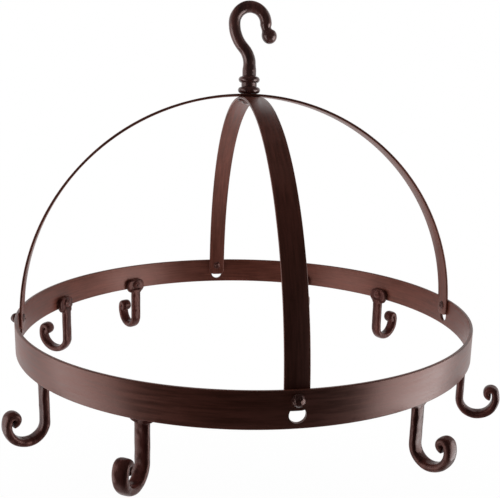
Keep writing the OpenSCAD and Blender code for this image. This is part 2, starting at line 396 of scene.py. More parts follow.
def flat_section(half_t: float, half_w: float, edge_r: float, steps: int = 4) -> list[Place]:
    """Outline of a flat bar with small rounded edges.

    Args:
        half_t: Half thickness.
        half_w: Half width.
        edge_r: Radius of the edges, cut down where the bar is too small for it.
        steps: Segments in each rounded edge.

    Returns:
        Offsets along the path's normal and along Y.
    """
    edge_r = min(edge_r, 0.98 * half_t, 0.98 * half_w)  # A sliver of flat is always left.
    outline = []
    for quarter, (a, b) in enumerate(((1, 1), (-1, 1), (-1, -1), (1, -1))):
        for angle in arc(90.0 * quarter, 90.0 * quarter + 90.0, steps):
            outline.append(on_arc((a * (half_t - edge_r), b * (half_w - edge_r)), edge_r, angle))
    return outline


def loft(rings: Sequence[Sequence[Vector]], closed: bool = False) -> Skin:
    """Joins rings of points into a skin, with a face over each open end.

    Args:
        rings: Rings of points with the same count, in metres.
        closed: Whether the last ring joins the first.

    Returns:
        The skin, with its faces pointing outwards.
    """
    skin = bmesh.new()
    made = [[skin.verts.new(point) for point in ring] for ring in rings]
    count = len(made[0])
    pairs = list(zip(made, made[1:])) + ([(made[-1], made[0])] if closed else [])
    for low, high in pairs:
        for i in range(count):
            j = (i + 1) % count
            skin.faces.new((low[i], low[j], high[j], high[i]))
    if not closed:
        skin.faces.new(list(reversed(made[0])))
        skin.faces.new(made[-1])
    bmesh.ops.recalc_face_normals(skin, faces=skin.faces)
    return skin


def sweep(stations: Iterable[Station], points: int = 40,
          shape: Callable[[Station, int], list[Place]] = section) -> Skin:
    """Sweeps a bar along stations in the XZ plane.

    Args:
        stations: Sections in order.
        points: Points round each section.
        shape: Gives the outline at a station.

    Returns:
        The bar's skin, in metres.
    """
    rings = []
    for station in stations:
        turn = math.radians(station.normal)
        rings.append([
            Vector((station.x + a * math.cos(turn), b, station.z + a * math.sin(turn))) * MM
            for a, b in shape(station, points)])
    return loft(rings)


def lathe(profile: Iterable[Place], points: int = TURNED_POINTS) -> Skin:
    """Turns a profile of (height along X, radius) about the X axis.

    Args:
        profile: From one end to the other, in millimetres, starting and ending near the axis.
        points: Points round the axis.

    Returns:
        The turned solid, in metres.
    """
    turns = [2 * math.pi * i / points for i in range(points)]
    return loft([[Vector((height, radius * math.cos(turn), radius * math.sin(turn))) * MM
                  for turn in turns] for height, radius in profile])


def drill(start: float, end: float, radius: float) -> Skin:
    """Cutter for a round hole along X, from start to end in millimetres."""
    return lathe([(start, NEAR_AXIS), (start, radius), (end, radius), (end, NEAR_AXIS)])


def swing(angle: float, height: float) -> Matrix:
    """Lift in millimetres, and then a turn about the rack's axis in degrees."""
    lift = Matrix.Translation((0, 0, height * MM))
    return Matrix.Rotation(math.radians(angle), 4, "Z") @ lift


def hammer(skin: Skin, depth: float, size: float, seed: int,
           reach: Callable[[Vector], float]) -> None:
    """Sinks the surface here and there, as hammer blows do, and never raises it.

    Args:
        skin: Skin to change.
        depth: Deepest dent, in millimetres.
        size: Distance between dents, in millimetres.
        seed: Chooses the pattern.
        reach: Share of the depth that a place in metres may take.
    """
    skin.normal_update()
    shift = Vector([seed * step for step in SEED_STEP])
    for vert in skin.verts:
        share = 0.5 + 0.5 * noise.noise(vert.co / (size * MM) + shift)
        vert.co -= vert.normal * depth * MM * smooth(share) * reach(vert.co)


def into_scene(name: str, mesh: bpy.types.Mesh) -> Piece:
    """Makes an object of a mesh, at the origin.

    Args:
        name: Name of the object.
        mesh: Its mesh.

    Returns:
        The object, in the scene.
    """
    made = bpy.data.objects.new(name, mesh)
    bpy.context.scene.collection.objects.link(made)
    return made


def finish_mesh(name: str, skin: Skin, crease: float = 38.0) -> Piece:
    """Turns a skin into a shaded object in the scene.

    Args:
        name: Name of the object.
        skin: Its skin, which is freed.
        crease: Angle in degrees above which an edge stays crisp.

    Returns:
        The object, at the origin.
    """
    mesh = bpy.data.meshes.new(name)
    skin.to_mesh(mesh)
    skin.free()
    made = into_scene(name, mesh)
    shade(made, crease)
    return made


def shade(piece: Piece, crease: float) -> None:
    """Shades a piece smooth with crisp edges, and stores how exposed each edge is.

    Args:
        piece: Mesh object.
        crease: Angle in degrees above which an edge stays crisp.
    """
    least, range_of_edge_mark = 0.10, 0.30  # Radians between the faces at an edge.
    mesh = piece.data
    mesh.polygons.foreach_set("use_smooth", [True] * len(mesh.polygons))
    mesh.set_sharp_from_angle(angle=math.radians(crease))
    skin = bmesh.new()
    skin.from_mesh(mesh)
    # How sharp each point's edges are; the paint lays its pale edge colour, wear and painted
    # highlight, there.
    worn_and_sheen = np.zeros(len(skin.verts), np.float32)
    for i, vert in enumerate(skin.verts):
        sharpest = max((e.calc_face_angle_signed(0.0) for e in vert.link_edges), default=0.0)
        worn_and_sheen[i] = smooth((sharpest - least) / range_of_edge_mark)
    skin.free()
    store = mesh.attributes.get(EDGE) or mesh.attributes.new(EDGE, "FLOAT", "POINT")
    store.data.foreach_set("value", worn_and_sheen)


def to_plain(piece: Piece, name: str) -> Piece:
    """Replaces a piece with live modifiers by the plain mesh that they make.

    Args:
        piece: Object with modifiers, which is removed.
        name: Name of the result.

    Returns:
        The plain object, with no modifier.
    """
    bpy.context.view_layer.update()
    evaluated = piece.evaluated_get(bpy.context.evaluated_depsgraph_get())
    mesh = bpy.data.meshes.new_from_object(evaluated)
    bpy.data.objects.remove(piece)
    return into_scene(name, mesh)


def cut(piece: Piece, cutters: Iterable[Skin], name: str) -> Piece:
    """Cuts holes in a piece.

    Args:
        piece: Object to cut.
        cutters: Solids to take away, which are freed.
        name: Name of the result.

    Returns:
        The cut object.
    """
    joined = bmesh.new()
    for cutter in cutters:
        spare = bpy.data.meshes.new("spare_cutter")
        cutter.to_mesh(spare)
        cutter.free()
        joined.from_mesh(spare)
        bpy.data.meshes.remove(spare)
    tool = finish_mesh(name + "_cutter", joined)
    hole = piece.modifiers.new("holes", "BOOLEAN")
    hole.operation = "DIFFERENCE"
    hole.solver = "EXACT"
    hole.object = tool
    result = to_plain(piece, name)
    bpy.data.objects.remove(tool)
    return result


def dress(piece: Piece, finish: Finish, slot: Slot, body: Body, nodes: Sequence[str]) -> Piece:
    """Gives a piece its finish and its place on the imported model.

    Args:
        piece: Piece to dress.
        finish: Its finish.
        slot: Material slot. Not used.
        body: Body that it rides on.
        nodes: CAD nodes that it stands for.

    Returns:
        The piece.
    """
    piece.data.materials.clear()
    piece.data.materials.append(finish.value.material())
    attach(piece, body.value)
    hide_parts(*nodes)
    LOG.info("%s: %d faces on body %s", piece.name, len(piece.data.polygons), body.value)
    return piece


class ShapeNodes(Nodes):
    """Geometry Nodes tree that is built in code and run once on a piece."""

    def __init__(self, name: str, inputs: Iterable[tuple[str, str, object]]) -> None:
        """Makes a tree with a geometry input and the named ones.

        Args:
            name: Name of the tree.
            inputs: Each input's name, socket type and value.
        """
        super().__init__(bpy.data.node_groups.new(name, "GeometryNodeTree"))
        face = self.tree.interface
        face.new_socket("Geometry", in_out="INPUT", socket_type="NodeSocketGeometry")
        self.values: dict[str, object] = {}
        for label, kind, value in inputs:
            socket = face.new_socket(label, in_out="INPUT", socket_type=kind)
            self.values[socket.identifier] = value
        face.new_socket("Geometry", in_out="OUTPUT", socket_type="NodeSocketGeometry")
        self.source = self.add("NodeGroupInput")

    def close(self, geometry: Socket, material: Socket) -> None:
        """Ends the tree in Realize Instances and Set Material.

        Args:
            geometry: What the tree has made.
            material: The tree's material input.
        """
        real = self.add("GeometryNodeRealizeInstances", {"Geometry": geometry})
        paint = self.add("GeometryNodeSetMaterial", {
            "Geometry": real.outputs["Geometry"], "Material": material})
        self.add("NodeGroupOutput", {"Geometry": paint.outputs["Geometry"]})

    def run(self, start: Piece, name: str) -> Piece:
        """Runs the tree on an object.

        Args:
            start: Object that carries the tree for a moment.
            name: Name of the result.

        Returns:
            The plain mesh that the tree makes.
        """
        modifier = start.modifiers.new("nodes", "NODES")
        modifier.node_group = self.tree
        for identifier, value in self.values.items():
            modifier[identifier] = value
        return to_plain(start, name)


def loose_points(name: str, points: Sequence[Vector] = (), turns: Sequence[float] = ()) -> Piece:
    """Makes an object of loose points that a tree starts from.

    Args:
        name: Name of the object.
        points: Places, in metres.
        turns: Turn about Z of what stands at each place, in radians.

    Returns:
        The object, in the scene.
    """
    mesh = bpy.data.meshes.new(name)
    mesh.from_pydata([tuple(point) for point in points], [], [])
    if points:
        store = mesh.attributes.new(TURN, "FLOAT", "POINT")
        store.data.foreach_set("value", list(turns))
    return into_scene(name, mesh)


@dataclass
class HoopBand:
    """The flat bar hoop with the four larger holes below the arch feet. Sizes in millimetres."""

    outer_r: float = 190.0
    height: float = 25.0
    thickness: float = 2.5
    edge_r: float = 0.7
    edge_steps: int = 4
    steps_round: int = 288
    hole_r: float = 5.5
    hole_z: float = -3.5
    drill_from: float = 182.0
    drill_to: float = 194.0

    def _band(self) -> Piece:
        """Sweeps the bar round.

        Returns:
            The hoop without its holes.
        """
        nodes = ShapeNodes("hoop_sweep", (
            ("Radius", "NodeSocketFloat", (self.outer_r - self.thickness / 2) * MM),
            ("Bar height", "NodeSocketFloat", self.height * MM),
            ("Bar thickness", "NodeSocketFloat", self.thickness * MM),
            ("Edge radius", "NodeSocketFloat", self.edge_r * MM),
            ("Height of hoop", "NodeSocketVector", (0.0, 0.0, BAND_Z * MM)),
            ("Paint", "NodeSocketMaterial", Finish.HOOP.value.material()),
        ))
        given = nodes.source.outputs
        ring = nodes.add("GeometryNodeCurvePrimitiveCircle", {
            "Resolution": self.steps_round, "Radius": given["Radius"]})
        bar = nodes.add("GeometryNodeCurvePrimitiveQuadrilateral", {
            "Width": given["Bar thickness"], "Height": given["Bar height"]})
        soft = nodes.add("GeometryNodeFilletCurve", {
            "Curve": bar.outputs["Curve"],
            "Radius": given["Edge radius"],
            "Count": self.edge_steps,
            "Limit Radius": True,
        }, mode="POLY")
        skin = nodes.add("GeometryNodeCurveToMesh", {
            "Curve": ring.outputs["Curve"], "Profile Curve": soft.outputs["Curve"]})
        placed = nodes.add("GeometryNodeTransform", {
            "Geometry": skin.outputs["Mesh"], "Translation": given["Height of hoop"]})
        nodes.close(placed.outputs["Geometry"], given["Paint"])
        return nodes.run(loose_points("hoop_start"), "hoop_bar")

    def build(self) -> Piece:
        """Sweeps the bar round, turns its faces outwards and cuts its holes.

        Returns:
            The hoop.
        """
        hoop = self._band()
        skin = bmesh.new()
        skin.from_mesh(hoop.data)
        bmesh.ops.recalc_face_normals(skin, faces=skin.faces)
        skin.to_mesh(hoop.data)
        skin.free()
        cutters = []
        for angle in (0, 90, 180, 270):
            hole = drill(self.drill_from, self.drill_to, self.hole_r)
            hole.transform(swing(angle, BAND_Z + self.hole_z))
            cutters.append(hole)
        hoop = cut(hoop, cutters, "hoop_band")
        shade(hoop, BAR_CREASE)
        return hoop

    def dress(self) -> Piece:
        """Builds the hoop and paints it."""
        return dress(self.build(), Finish.HOOP, Slot.BAND, Body.RACK, ["hoop"])


@dataclass
class Arch:
    """One flat bar bent to a half circle on straight feet. Sizes in millimetres."""

    node: str
    finish: Finish
    spring: float
    seed: int
    turned: bool = False
    foot_end: float = -2.0
    far_foot_end: float = -2.0
    outer_r: float = 187.218
    width: float = 16.5
    thickness: float = 2.0
    edge_r: float = 0.6
    corner_r: float = 5.0
    bore_r: float = 4.05
    drill_reach: float = 30.0
    least_leg: float = 0.2
    wave: float = 0.10
    wave_per_degree: float = 0.09
    wave_per_seed: float = 5.0

    def _half_width(self, from_end: float) -> float:
        """Half width near a foot, with the foot's corners rounded off.

        Args:
            from_end: Distance from the foot's end.

        Returns:
            Half the bar's width there.
        """
        half = self.width / 2
        if from_end >= self.corner_r:
            return half
        short = self.corner_r - max(from_end, 0.0)
        return half - self.corner_r + math.sqrt(max(self.corner_r ** 2 - short ** 2, 0.0))

    def stations(self) -> list[Station]:
        """Works out the bar's sections.

        Returns:
            Sections from the far foot's end over the crown to the other's.
        """
        half_t = self.thickness / 2
        mid_r = self.outer_r - half_t
        feet = []
        for end in (self.far_foot_end, self.foot_end):
            drops = [self.corner_r * (1 - math.cos(math.radians(a)))
                     for a in arc(3.0, 90.0, steps=12)]
            if self.spring - end > self.corner_r + self.least_leg:
                drops.append(self.spring - end)
            feet.append([Station(mid_r, BAND_Z + end + drop, 0.0, half_t, self._half_width(drop))
                         for drop in drops])
        curve = []
        for angle in arc(0.0, 180.0, steps=170)[1:-1]:
            beat = noise.noise(Vector((angle * self.wave_per_degree,
                                       self.seed * self.wave_per_seed, 0.0)))
            curve.append(Station(*on_arc((0.0, BAND_Z + self.spring), mid_r, angle), angle,
                                 half_t, self.width / 2 - abs(self.wave * beat)))
        other = [Station(-s.x, s.z, 180.0, s.half_t, s.half_w) for s in reversed(feet[1])]
        return feet[0] + curve + other

    def build(self) -> Piece:
        """Sweeps the bar and bores its crown.

        Returns:
            The arch.
        """
        name = self.node + "_bar"
        skin = sweep(self.stations(),
                     shape=lambda s, _: flat_section(s.half_t, s.half_w, self.edge_r))
        piece = finish_mesh(name + "_bar", skin)
        bore = drill(-self.drill_reach, self.drill_reach, self.bore_r)
        crown = (BAND_Z + self.spring + self.outer_r) * MM
        bore.transform(Matrix.Translation((0, 0, crown))
                       @ Matrix.Rotation(math.radians(90), 4, "Y"))
        piece = cut(piece, [bore], name)
        if self.turned:
            piece.data.transform(Matrix.Rotation(math.radians(90), 4, "Z"))
        shade(piece, BAR_CREASE)
        return piece

    def dress(self) -> Piece:
        """Builds the arch and paints it."""
        return dress(self.build(), self.finish, Slot.BAND, Body.RACK, [self.node])


@dataclass
class Rivets:
    """A set of like rivets round the hoop.

    Sizes are in millimetres, with X outwards. Each rest is a length that blows leave alone, and the
    length after it over which their dents deepen.
    """

    name: str
    nodes: list[str]
    angles: list[float]
    z: float
    inside_x: float
    outside_x: float
    inner_head_r: float
    inner_head_h: float
    outer_head_r: float = 0.0
    outer_head_h: float = 0.0
    shank_r: float = 2.5
    punch_r: float = 1.5
    punch_h: float = 0.7
    punch_margin: float = 1.1
    dome_power: float = 0.9
    dome_share: float = 0.98
    rim_share: float = 0.97
    seat: float = 0.05
    flank_h: float = 0.4
    foot_share: float = 0.9
    dent: float = 0.3
    dent_step: float = 2.0
    inner_rest: Pair = (0.15, 0.6)
    outer_rest: Pair = (0.5, 0.8)
    axis_rest: Pair = (0.5, 1.6)
    finish: Finish = Finish.RIVET
    seed: int = 7

    def _open_to_blows(self, place: Vector) -> float:
        """Keeps dents off the axis, the shank and the faces that clamp.

        Args:
            place: Place on the rivet, in metres.

        Returns:
            Share of a dent that the place takes.
        """
        x, off_axis = place.x / MM, math.hypot(place.y, place.z) / MM
        inner, outer, axis = (smooth((past - rest) / fade) for past, (rest, fade) in (
            (self.inside_x - x, self.inner_rest),
            (x - self.outside_x, self.outer_rest),
            (off_axis, self.axis_rest),
        ))
        return max(inner, outer) * axis

    def _inner_head(self) -> list[Place]:
        """Works out the domed inner head, from its punched middle to its underside.

        Returns:
            Its profile.
        """
        middle_x = self.inside_x - self.inner_head_h + self.punch_h
        profile = [(middle_x, NEAR_AXIS)]
        for share in PUNCH_STEPS:
            lift = self.punch_h * (1 - math.sqrt(1 - share ** 2))
            profile.append((middle_x - lift, self.punch_r * share))
        for angle in arc(70.0, 0.0, steps=9):
            turn = math.radians(angle)
            reach = self.inner_head_r * math.cos(turn)
            if reach > self.punch_r * self.punch_margin:
                dome = self.inner_head_h * math.sin(turn) ** self.dome_power * self.dome_share
                profile.append((self.inside_x - dome, reach))
        return profile + [(self.inside_x + self.seat, self.inner_head_r * self.rim_share)]

    def _outer_head(self) -> list[Place]:
        """Works out the domed outer head, or a flush end where the head has no height.

        Returns:
            Its profile.
        """
        if self.outer_head_h <= 0:
            return [(self.outside_x, NEAR_AXIS)]
        rise = max(self.outer_head_h - self.outer_head_r, 0.0)
        profile = [(self.outside_x, self.outer_head_r * self.foot_share),
                   (self.outside_x + self.flank_h, self.outer_head_r * self.dome_share)]
        for angle in arc(4.0, 89.0, steps=14):
            turn = math.radians(angle)
            dome = (self.outer_head_h - rise) * math.sin(turn)
            profile.append((self.outside_x + rise + dome, self.outer_head_r * math.cos(turn)))
        return profile

    def _rivet(self) -> Piece:
        """Turns one rivet and hammers its heads.

        Returns:
            The rivet, lying along X.
        """
        shank = [(self.inside_x + self.seat, self.shank_r), (self.outside_x, self.shank_r)]
        skin = lathe(self._inner_head() + shank + self._outer_head())
        hammer(skin, self.dent, self.dent_step, self.seed, self._open_to_blows)
        return finish_mesh(self.name + "_one", skin, TURNED_CREASE)

    def build(self) -> Piece:
        """Sets one rivet at each angle of the hoop, turned about its own axis by the seed.

        Returns:
            All rivets of the set as one piece.
        """
        one = self._rivet()
        nodes = ShapeNodes(self.name + "_ring", (
            ("Rivet", "NodeSocketObject", one),
            ("Seed", "NodeSocketInt", self.seed),
            ("Paint", "NodeSocketMaterial", self.finish.value.material()),
        ))
        given = nodes.source.outputs
        rivet = nodes.add("GeometryNodeObjectInfo", {"Object": given["Rivet"]},
                          transform_space="ORIGINAL")
        turn = nodes.add("GeometryNodeInputNamedAttribute", {"Name": TURN}, data_type="FLOAT")
        spin = nodes.add("FunctionNodeRandomValue", {
            2: -math.pi, 3: math.pi, "Seed": given["Seed"]}, data_type="FLOAT")
        angles = nodes.add("ShaderNodeCombineXYZ", {
            "X": spin.outputs[1], "Z": turn.outputs["Attribute"]})
        stand = nodes.add("GeometryNodeInstanceOnPoints", {
            "Points": given["Geometry"],
            "Instance": rivet.outputs["Geometry"],
            "Rotation": angles.outputs["Vector"],
        })
        nodes.close(stand.outputs["Instances"], given["Paint"])
        height = Vector((0.0, 0.0, (BAND_Z + self.z) * MM))
        start = loose_points(self.name + "_start", [height] * len(self.angles),
                             [math.radians(a) for a in self.angles])
        piece = nodes.run(start, self.name)
        bpy.data.objects.remove(one)
        shade(piece, TURNED_CREASE)
        return piece

    def dress(self) -> Piece:
        """Builds the rivets and paints them."""
        return dress(self.build(), self.finish, Slot.RIVET, Body.RACK, self.nodes)


@dataclass
class HerbHook:
    """One forged J hook: flattened palm, shank, bend and rolled tip.

    Sizes are in millimetres, with X outwards and heights from the middle of the hoop's band.
    Angles are in degrees.
    """

    number: int
    angle: float
    palm_x: float = 187.133
    palm_z: float = -9.1
    palm_w: float = 20.0
    palm_h: float = 14.2
    palm_corner_r: float = 5.5
    palm_t: float = 4.5
    palm_square: float = 5.0
    palm_fade: float = 1.2
    rim_share: float = 0.62
    rim_h: float = 1.6
    wing_inset: float = 0.6
    wing_w: float = 2.2
    shoulder_z: float = -11.5
    shoulder_h: float = 1.9
    shank_top: float = 4.0
    shank_h: float = 6.0
    least_half_w: float = 0.3
    bar_t: float = 6.2
    bar_w: float = 10.5
    bar_square: float = 2.7
    bend_z: float = -42.8
    bend_r: float = 12.1
    rise_z: float = -40.0
    rise_outer_r: float = 18.0
    taper_from: float = 325.0
    roll_from: float = 21.0
    roll_r: float = 6.0
    roll_t: float = 5.9
    roll_w: float = 11.1
    tip_t: float = 5.75
    tip_narrowing: float = 0.05
    tip_round: float = 0.6
    tip_flat: float = 0.55
    tip_square: float = 2.6
    points: int = 44
    lean_z: float = -11.8
    lean_growth: float = 2.0
    dent: float = 0.2
    dent_step: float = 6.5
    crease: float = 52.0
    draw_seed: int = 400
    dent_seed: int = 20
    roll_range: Pair = (236.0, 244.0)
    lean_range: Pair = (-0.25, 0.25)
    roll_turn: float = field(init=False)
    lean: float = field(init=False)

    def __post_init__(self) -> None:
        """Draws this hook's own small differences from its number."""
        draw = np.random.default_rng(self.draw_seed + self.number)
        self.roll_turn = float(draw.uniform(*self.roll_range))
        self.lean = float(draw.uniform(*self.lean_range))

    def _palm_half_width(self, z: float) -> float:
        """Half width of the hammered palm, with its corners rounded.

        Args:
            z: Height.

        Returns:
            Half the palm's width there, 0 beyond the palm.
        """
        past = abs(z - self.palm_z) - (self.palm_h / 2 - self.palm_corner_r)
        if past <= 0:
            return self.palm_w / 2
        inset = math.sqrt(max(self.palm_corner_r ** 2 - past ** 2, 0.0))
        return self.palm_w / 2 - self.palm_corner_r + inset if past < self.palm_corner_r else 0.0

    def _open_to_blows(self, place: Vector) -> float:
        """Share of a dent that a place in metres takes: none at the palm's thin top."""
        return smooth((self.palm_z + self.palm_h / 2 - place.z / MM) / self.palm_fade)

    def outline(self, station: Station, points: int) -> list[Place]:
        """Outline of the bar, thinner in the palm's two wings.

        Args:
            station: Section of the hook.
            points: Points round the outline.

        Returns:
            Offsets along the path's normal and along Y.
        """
        made = section(station, points)
        full = 2 * station.half_t
        if station.normal != 180.0 or full <= self.palm_t:
            return made
        thinned = []
        for a, b in made:
            wing = smooth((abs(b) - self.bar_w / 2 + self.wing_inset) / self.wing_w)
            keep = 1 - (1 - self.palm_t / full) * wing
            thinned.append(((a + station.half_t) * keep - station.half_t, b))
        return thinned

    def _upright(self) -> list[Station]:
        """Works out the palm and the shank.

        Returns:
            Their sections, from the top down.
        """
        top, low = self.palm_z + self.palm_h / 2, self.palm_z - self.palm_h / 2
        palm = [top - self.palm_h * (1 - math.cos(math.radians(a))) / 2
                for a in arc(8.0, 176.0, steps=40)]
        made = []
        for z in (*palm, *np.linspace(low - 0.4, self.bend_z, num=30)):
            shank = self.bar_w / 2 * smooth((self.palm_z + self.shank_top - z) / self.shank_h)
            half_w = max(larger(self._palm_half_width(z), shank, power=8), self.least_half_w)
            down = smooth((self.shoulder_z - z) / self.shoulder_h)
            thick = between(self.palm_t, self.bar_t, down)
            rim = between(self.rim_share, 1.0, smooth((top - z) / self.rim_h))
            made.append(Station(self.palm_x - thick / 2, z, 180.0, thick * rim / 2, half_w,
                                between(self.palm_square, self.bar_square, down)))
        return made

    def stations(self) -> list[Station]:
        """Works out the hook's sections.

        Returns:
            Sections from the top of the palm to the end of the rolled tip.
        """
        made = self._upright()
        turn_x = self.palm_x - self.bar_t / 2 + self.bend_r
        for angle in arc(180.0, 270.0, steps=22)[1:]:
            made.append(Station(*on_arc((turn_x, self.bend_z), self.bend_r, angle), angle,
                                self.bar_t / 2, self.bar_w / 2, self.bar_square))
        rise_end = 360.0 + self.roll_from
        for angle in arc(270.0, rise_end, steps=30)[1:]:
            near = smooth((angle - self.taper_from) / (rise_end - self.taper_from))
            thick = between(self.bar_t, self.roll_t, near)
            place = on_arc((turn_x, self.rise_z), self.rise_outer_r - thick / 2, angle)
            made.append(Station(*place, angle, thick / 2,
                                between(self.bar_w, self.roll_w, near) / 2, self.bar_square))
        roll = on_arc((turn_x, self.rise_z), self.rise_outer_r - self.roll_r, self.roll_from)
        for angle in arc(self.roll_from, self.roll_from + self.roll_turn, steps=26)[1:]:
            share = (angle - self.roll_from) / self.roll_turn
            thick = between(self.roll_t, self.tip_t, share)
            made.append(Station(*on_arc(roll, self.roll_r - thick / 2, angle), angle, thick / 2,
                                self.roll_w / 2 * (1 - self.tip_narrowing * share),
                                self.bar_square))
        last = made[-1]
        for share in ROUND_END:
            keep = math.sqrt(1 - share ** 2)
            place = on_arc((last.x, last.z), self.tip_round * share, last.normal + 90.0)
            made.append(Station(*place, last.normal, last.half_t * keep,
                                last.half_w * between(self.tip_flat, 1.0, keep),
                                self.tip_square))
        return made

    def build(self) -> Piece:
        """Sweeps the hook, works its surface and turns it to its place on the hoop.

        Returns:
            The hook.
        """
        skin = sweep(self.stations(), self.points, self.outline)
        hammer(skin, self.dent, self.dent_step, self.dent_seed + self.number,
               self._open_to_blows)
        for vert in skin.verts:
            low = max(0.0, self.lean_z * MM - vert.co.z)
            vert.co.y += math.radians(self.lean) * low * self.lean_growth
        skin.transform(swing(self.angle, BAND_Z))
        return finish_mesh(f"forged_herb_hook_{self.number}", skin, self.crease)

    def dress(self) -> Piece:
        """Builds the hook and paints it."""
        return dress(self.build(), Finish.HERB_HOOK, Slot.HOOK, Body.RACK,
                     [f"herb_hook_{self.number}"])


@dataclass
class HangingHook:
    """The forged hanging hook, from its headed tail to the ball on its tip.

    Sizes are in millimetres, with heights from the saddle. Angles are in degrees. Its dents are
    pairs of a depth and the distance between them.
    """

    saddle_r: float = 8.0
    bar_r: float = 4.85
    thin_r: float = 4.1
    thin_within: float = 14.0
    neck_upper_r: float = 28.0
    neck_lower_r: float = 18.0
    neck_bar_r: float = 5.3
    stem_r: float = 5.8
    taper_h: float = 5.0
    flare_r: float = 15.5
    flare_angle: float = 37.0
    ball_r: float = 6.2
    bead_r: float = 2.75
    collar_step: float = 8.4
    collar_gap: float = 0.25
    upper_collar_r: float = 8.8
    lower_collar_r: float = 9.3
    waist_r: float = 6.5
    tail_r: float = 4.0
    crown_z: float = -63.5
    tail_drop: float = 6.15
    peen_r: float = 6.0
    peen_h: float = 2.6
    beads_h: float = 3.4
    stem_step: float = 0.22
    points: int = 48
    smooth_below: float = 0.1
    broad_dents: Pair = (0.16, 11.0)
    small_dents: Pair = (0.10, 4.5)
    crease: float = 48.0
    seed: int = 31

    def __post_init__(self) -> None:
        """Works out the places that follow from the sizes."""
        self.bow_z = -self.saddle_r
        self.bow_r = self.saddle_r + self.bar_r
        bends = self.neck_upper_r + self.neck_lower_r
        self.neck_angle = math.degrees(math.acos(1 - self.bow_r / bends))
        self.neck_end_z = self.bow_z - bends * math.sin(math.radians(self.neck_angle))
        low = self.crown_z + self.collar_gap + self.bead_r
        self.lower_bead = (low, self.lower_collar_r)
        self.upper_bead = (low + self.collar_step, self.upper_collar_r)
        self.collar_low_z = self.lower_bead[0] - self.bead_r
        self.tail_z = self.crown_z - self.tail_drop

    def _stem_radius(self, z: float) -> float:
        """Radius of the upright part, with beads, waist and stem.

        Args:
            z: Height.

        Returns:
            The radius there.
        """
        if z < self.collar_low_z:
            return self.tail_r
        core = self.waist_r if z < self.upper_bead[0] else self.stem_r
        if z > self.neck_end_z - self.taper_h:
            share = smooth((z - self.neck_end_z + self.taper_h) / self.taper_h)
            core = between(self.stem_r, self.neck_bar_r, share)
        for bead_z, outer_r in (self.lower_bead, self.upper_bead):
            off = abs(z - bead_z)
            if off <= self.bead_r:
                core = max(core, outer_r - self.bead_r + math.sqrt(self.bead_r ** 2 - off ** 2))
        return core

    def _neck_radius(self, angle: float) -> float:
        """Radius of the bar at an angle of the lower neck."""
        return between(self.neck_bar_r, self.bar_r, smooth(angle / self.neck_angle))

    def _tip_radius(self, angle: float) -> float:
        """Radius of the bar as it flares out, thins and swells into the ball.

        Args:
            angle: Place on the flare, from 180.

        Returns:
            The radius there.
        """
        along = math.radians(180.0 + self.flare_angle - angle) * self.flare_r
        bar = between(self.bar_r, self.thin_r, smooth((angle - 180.0) / self.thin_within))
        return larger(bar, math.sqrt(max(self.ball_r ** 2 - along ** 2, 0.0)), power=7)

    def _upright(self) -> list[Station]:
        """Works out the headed end, the tail, the collars and the stem.

        Returns:
            Their sections, from the bottom up.
        """
        made = []
        for angle in arc(4.0, 90.0, steps=10):
            turn = math.radians(angle)
            made.append(round_bar((0.0, self.tail_z - self.peen_h * math.cos(turn)), 0.0,
                                  self.peen_r * math.sin(turn)))
        beads_end = self.upper_bead[0] + self.beads_h
        # The sections a hundredth or two from a step in radius keep that step crisp.
        heights = (self.tail_z + 0.02,
                   *np.linspace(self.tail_z + 0.5, self.collar_low_z - 0.01, num=8),
                   *np.arange(self.collar_low_z, beads_end, self.stem_step),
                   *np.linspace(beads_end + 0.5, self.neck_end_z, num=22))
        return made + [round_bar((0.0, z), 0.0, self._stem_radius(z)) for z in heights]

    def stations(self) -> list[Station]:
        """Works out the hook's sections.

        Returns:
            Sections from the headed end of the tail to the ball.
        """
        path = self._upright()
        for x, z, line_r, angles, back_turn, radius in (
            (-self.neck_lower_r, self.neck_end_z, self.neck_lower_r,
             arc(0.0, self.neck_angle, steps=20), 0.0, self._neck_radius),
            (self.neck_upper_r - self.bow_r, self.bow_z, self.neck_upper_r,
             arc(180.0 + self.neck_angle, 180.0, steps=22), 180.0, lambda _: self.bar_r),
            (0.0, self.bow_z, self.bow_r,
             arc(180.0, 0.0, steps=64), 180.0, lambda _: self.bar_r),
            (self.bow_r + self.flare_r, self.bow_z, self.flare_r,
             arc(180.0, 180.0 + self.flare_angle, steps=26), 360.0, self._tip_radius),
        ):
            path += [round_bar(on_arc((x, z), line_r, angle), angle - back_turn, radius(angle))
                     for angle in angles[1:]]
        last = path[-1]
        for angle in arc(5.0, 87.0, steps=14):
            turn = math.radians(angle)
            place = on_arc((last.x, last.z), self.ball_r * math.sin(turn), last.normal + 90.0)
            path.append(round_bar(place, last.normal, self.ball_r * math.cos(turn)))
        return path

    def build(self) -> Piece:
        """Sweeps the hook and works its surface above the tail.

        Returns:
            The hanging hook.
        """
        skin = sweep(self.stations(), self.points)
        skin.normal_update()
        patterns = ((*self.broad_dents, Vector((self.seed, 0, 0))),
                    (*self.small_dents, Vector((0, self.seed, 0))))
        for vert in skin.verts:
            if vert.co.z > self.collar_low_z * MM + self.smooth_below * MM:
                vert.co -= vert.normal * MM * sum(
                    depth * smooth(0.5 + 0.5 * noise.noise(vert.co / (size * MM) + shift))
                    for depth, size, shift in patterns)
        return finish_mesh("forged_hanging_hook", skin, self.crease)

    def dress(self) -> Piece:
        """Builds the hanging hook and paints it."""
        return dress(self.build(), Finish.HANGING_HOOK, Slot.HOOK, Body.HANGER,
                     ["hanging_hook"])


